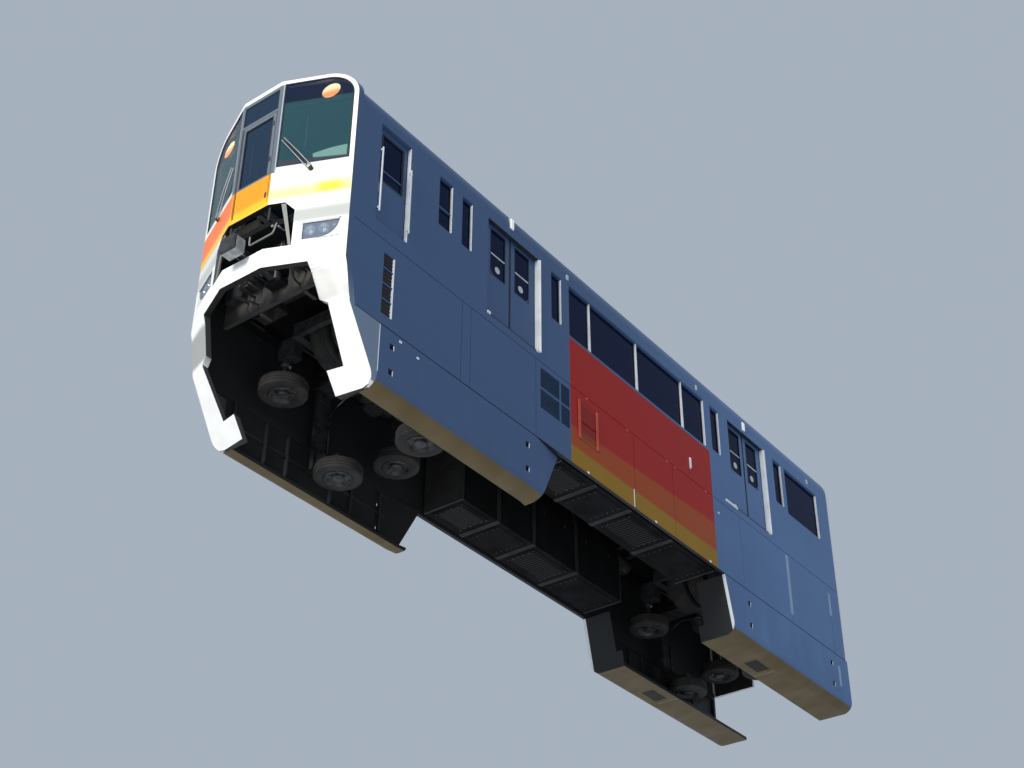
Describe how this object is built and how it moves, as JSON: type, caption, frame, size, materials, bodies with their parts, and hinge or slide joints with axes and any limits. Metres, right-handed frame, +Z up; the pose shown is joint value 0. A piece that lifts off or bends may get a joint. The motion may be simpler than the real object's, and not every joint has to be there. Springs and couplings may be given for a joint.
{
  "type": "straddle beam monorail cab car",
  "caption": "Lead cab car of a straddle-beam monorail train, with sliding doors, cab, couplers and two bogies with running, guide and stabilising wheels.",
  "frame": {"origin": "on the centre line of the track beam's running surface, 7.3 m ahead of the rear coupling plane", "axes": "+X to the cab end, +Y to the car's left, +Z up"},
  "size_m": [15.26, 3.072, 5.195],
  "materials": {
    "silver_paint": "satin",
    "white_paint": "satin",
    "dark_paint": "matte",
    "steel": "satin",
    "tyre": "matte",
    "rubber": "matte",
    "glass": "gloss",
    "lamp": "gloss",
    "interior_trim": "matte",
    "seat_fabric": "matte"
  },
  "bodies": {
    "car_body": {"side_wall_left": "silver_paint", "side_wall_right": "silver_paint", "lower_panel_left": "silver_paint", "lower_panel_right": "silver_paint", "skirt_front_left": "silver_paint", "skirt_front_right": "silver_paint", "skirt_rear_left": "silver_paint", "skirt_rear_right": "silver_paint", "roof": "silver_paint", "nose_frame": "white_paint", "rear_wall": "white_paint", "floor": "dark_paint", "equipment_left": "dark_paint", "equipment_right": "dark_paint", "grab_rails": "steel", "side_glass_left": "glass", "side_glass_right": "glass", "windscreen_left": "glass", "windscreen_right": "glass", "transom_glass": "glass", "headlamp_left": "lamp", "headlamp_right": "lamp", "gangway_bellows": "rubber", "cab_bulkhead": "interior_trim", "cab_fittings": "interior_trim", "bench_middle_left": "seat_fabric", "bench_middle_right": "seat_fabric", "bench_end_left": "seat_fabric", "bench_end_right": "seat_fabric"},
    "door_front_fore_left": {"door_front_fore_left": "silver_paint"},
    "door_front_fore_right": {"door_front_fore_right": "silver_paint"},
    "door_front_aft_left": {"door_front_aft_left": "silver_paint"},
    "door_front_aft_right": {"door_front_aft_right": "silver_paint"},
    "door_rear_fore_left": {"door_rear_fore_left": "silver_paint"},
    "door_rear_fore_right": {"door_rear_fore_right": "silver_paint"},
    "door_rear_aft_left": {"door_rear_aft_left": "silver_paint"},
    "door_rear_aft_right": {"door_rear_aft_right": "silver_paint"},
    "crew_door_left": {"crew_door_left": "silver_paint"},
    "crew_door_right": {"crew_door_right": "silver_paint"},
    "front_door": {"front_door": "white_paint"},
    "coupler_front": {"coupler_front": "steel"},
    "coupler_rear": {"coupler_rear": "steel"},
    "bogie_front": {"bogie_frame_front": "dark_paint"},
    "wheelset_front_fore": {"wheelset_front_fore": "tyre"},
    "wheelset_front_aft": {"wheelset_front_aft": "tyre"},
    "guide_wheel_front_fore_left": {"guide_wheel_front_fore_left": "tyre"},
    "guide_wheel_front_aft_left": {"guide_wheel_front_aft_left": "tyre"},
    "stabiliser_front_left": {"stabiliser_front_left": "tyre"},
    "guide_wheel_front_fore_right": {"guide_wheel_front_fore_right": "tyre"},
    "guide_wheel_front_aft_right": {"guide_wheel_front_aft_right": "tyre"},
    "stabiliser_front_right": {"stabiliser_front_right": "tyre"},
    "bogie_rear": {"bogie_frame_rear": "dark_paint"},
    "wheelset_rear_fore": {"wheelset_rear_fore": "tyre"},
    "wheelset_rear_aft": {"wheelset_rear_aft": "tyre"},
    "guide_wheel_rear_fore_left": {"guide_wheel_rear_fore_left": "tyre"},
    "guide_wheel_rear_aft_left": {"guide_wheel_rear_aft_left": "tyre"},
    "stabiliser_rear_left": {"stabiliser_rear_left": "tyre"},
    "guide_wheel_rear_fore_right": {"guide_wheel_rear_fore_right": "tyre"},
    "guide_wheel_rear_aft_right": {"guide_wheel_rear_aft_right": "tyre"},
    "stabiliser_rear_right": {"stabiliser_rear_right": "tyre"}
  },
  "joints": [
    {"name": "door_front_fore_left_slide", "type": "slide", "parent": "car_body", "child": "door_front_fore_left", "axis": [1, 0, 0], "range_m": [0, 0.65]},
    {"name": "door_front_fore_right_slide", "type": "slide", "parent": "car_body", "child": "door_front_fore_right", "axis": [1, 0, 0], "range_m": [0, 0.65]},
    {"name": "door_front_aft_left_slide", "type": "slide", "parent": "car_body", "child": "door_front_aft_left", "axis": [-1, 0, 0], "range_m": [0, 0.65]},
    {"name": "door_front_aft_right_slide", "type": "slide", "parent": "car_body", "child": "door_front_aft_right", "axis": [-1, 0, 0], "range_m": [0, 0.65]},
    {"name": "door_rear_fore_left_slide", "type": "slide", "parent": "car_body", "child": "door_rear_fore_left", "axis": [1, 0, 0], "range_m": [0, 0.65]},
    {"name": "door_rear_fore_right_slide", "type": "slide", "parent": "car_body", "child": "door_rear_fore_right", "axis": [1, 0, 0], "range_m": [0, 0.65]},
    {"name": "door_rear_aft_left_slide", "type": "slide", "parent": "car_body", "child": "door_rear_aft_left", "axis": [-1, 0, 0], "range_m": [0, 0.65]},
    {"name": "door_rear_aft_right_slide", "type": "slide", "parent": "car_body", "child": "door_rear_aft_right", "axis": [-1, 0, 0], "range_m": [0, 0.65]},
    {"name": "crew_door_left_hinge", "type": "hinge", "parent": "car_body", "child": "crew_door_left", "pos_m": [5.967, 1.392, 1.2], "axis": [0, 0, -1], "range_deg": [0, 88]},
    {"name": "crew_door_right_hinge", "type": "hinge", "parent": "car_body", "child": "crew_door_right", "pos_m": [5.967, -1.392, 1.2], "axis": [0, 0, 1], "range_deg": [0, 88]},
    {"name": "front_door_hinge", "type": "hinge", "parent": "car_body", "child": "front_door", "pos_m": [7.62, -0.33, 1.42], "axis": [0, 0, 1], "range_deg": [0, 88]},
    {"name": "coupler_front_swing", "type": "hinge", "parent": "car_body", "child": "coupler_front", "pos_m": [7, 0, 0.64], "axis": [0, 0, 1], "range_deg": [-10, 10]},
    {"name": "coupler_rear_swing", "type": "hinge", "parent": "car_body", "child": "coupler_rear", "pos_m": [-6.88, 0, 0.64], "axis": [0, 0, 1], "range_deg": [-10, 10]},
    {"name": "bogie_front_swivel", "type": "hinge", "parent": "car_body", "child": "bogie_front", "pos_m": [4.66, 0, 0.86], "axis": [0, 0, 1], "range_deg": [-4, 4]},
    {"name": "wheelset_front_fore_spin", "type": "hinge", "parent": "bogie_front", "child": "wheelset_front_fore", "pos_m": [5.41, 0, 0.503], "axis": [0, 1, 0], "continuous": true},
    {"name": "wheelset_front_aft_spin", "type": "hinge", "parent": "bogie_front", "child": "wheelset_front_aft", "pos_m": [3.91, 0, 0.503], "axis": [0, 1, 0], "continuous": true},
    {"name": "guide_wheel_front_fore_left_spin", "type": "hinge", "parent": "bogie_front", "child": "guide_wheel_front_fore_left", "pos_m": [5.91, 0.79, -0.35], "axis": [0, 0, 1], "continuous": true},
    {"name": "guide_wheel_front_aft_left_spin", "type": "hinge", "parent": "bogie_front", "child": "guide_wheel_front_aft_left", "pos_m": [3.41, 0.79, -0.35], "axis": [0, 0, 1], "continuous": true},
    {"name": "stabiliser_front_left_spin", "type": "hinge", "parent": "bogie_front", "child": "stabiliser_front_left", "pos_m": [4.66, 0.79, -1.15], "axis": [0, 0, 1], "continuous": true},
    {"name": "guide_wheel_front_fore_right_spin", "type": "hinge", "parent": "bogie_front", "child": "guide_wheel_front_fore_right", "pos_m": [5.91, -0.79, -0.35], "axis": [0, 0, 1], "continuous": true},
    {"name": "guide_wheel_front_aft_right_spin", "type": "hinge", "parent": "bogie_front", "child": "guide_wheel_front_aft_right", "pos_m": [3.41, -0.79, -0.35], "axis": [0, 0, 1], "continuous": true},
    {"name": "stabiliser_front_right_spin", "type": "hinge", "parent": "bogie_front", "child": "stabiliser_front_right", "pos_m": [4.66, -0.79, -1.15], "axis": [0, 0, 1], "continuous": true},
    {"name": "bogie_rear_swivel", "type": "hinge", "parent": "car_body", "child": "bogie_rear", "pos_m": [-4.94, 0, 0.86], "axis": [0, 0, 1], "range_deg": [-4, 4]},
    {"name": "wheelset_rear_fore_spin", "type": "hinge", "parent": "bogie_rear", "child": "wheelset_rear_fore", "pos_m": [-4.19, 0, 0.503], "axis": [0, 1, 0], "continuous": true},
    {"name": "wheelset_rear_aft_spin", "type": "hinge", "parent": "bogie_rear", "child": "wheelset_rear_aft", "pos_m": [-5.69, 0, 0.503], "axis": [0, 1, 0], "continuous": true},
    {"name": "guide_wheel_rear_fore_left_spin", "type": "hinge", "parent": "bogie_rear", "child": "guide_wheel_rear_fore_left", "pos_m": [-3.69, 0.79, -0.35], "axis": [0, 0, 1], "continuous": true},
    {"name": "guide_wheel_rear_aft_left_spin", "type": "hinge", "parent": "bogie_rear", "child": "guide_wheel_rear_aft_left", "pos_m": [-6.19, 0.79, -0.35], "axis": [0, 0, 1], "continuous": true},
    {"name": "stabiliser_rear_left_spin", "type": "hinge", "parent": "bogie_rear", "child": "stabiliser_rear_left", "pos_m": [-4.94, 0.79, -1.15], "axis": [0, 0, 1], "continuous": true},
    {"name": "guide_wheel_rear_fore_right_spin", "type": "hinge", "parent": "bogie_rear", "child": "guide_wheel_rear_fore_right", "pos_m": [-3.69, -0.79, -0.35], "axis": [0, 0, 1], "continuous": true},
    {"name": "guide_wheel_rear_aft_right_spin", "type": "hinge", "parent": "bogie_rear", "child": "guide_wheel_rear_aft_right", "pos_m": [-6.19, -0.79, -0.35], "axis": [0, 0, 1], "continuous": true},
    {"name": "stabiliser_rear_right_spin", "type": "hinge", "parent": "bogie_rear", "child": "stabiliser_rear_right", "pos_m": [-4.94, -0.79, -1.15], "axis": [0, 0, 1], "continuous": true}
  ]
}
